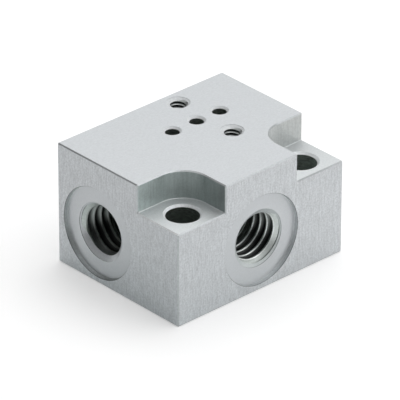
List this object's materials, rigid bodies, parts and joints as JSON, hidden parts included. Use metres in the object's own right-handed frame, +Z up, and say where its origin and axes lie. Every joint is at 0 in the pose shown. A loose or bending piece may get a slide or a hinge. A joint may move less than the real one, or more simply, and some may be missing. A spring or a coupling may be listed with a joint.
{
  "type": "valve base plate",
  "caption": "Small machined aluminium block that carries a solenoid valve on its top face, with threaded air ports in its sides and stepped corners for its fixing screws.",
  "frame": {"origin": "middle of the bottom face, on which the block stands", "axes": "+X along the block's long side, from the left port to the right port; -Y is the front with the two stepped corners and the front port; +Z up, out of the valve seat"},
  "size_m": [0.0188, 0.015, 0.0114],
  "materials": {
    "aluminium": "brushed and clear anodised, satin"
  },
  "bodies": {
    "root": {"valve_base_plate": "aluminium"}
  },
  "joints": []
}
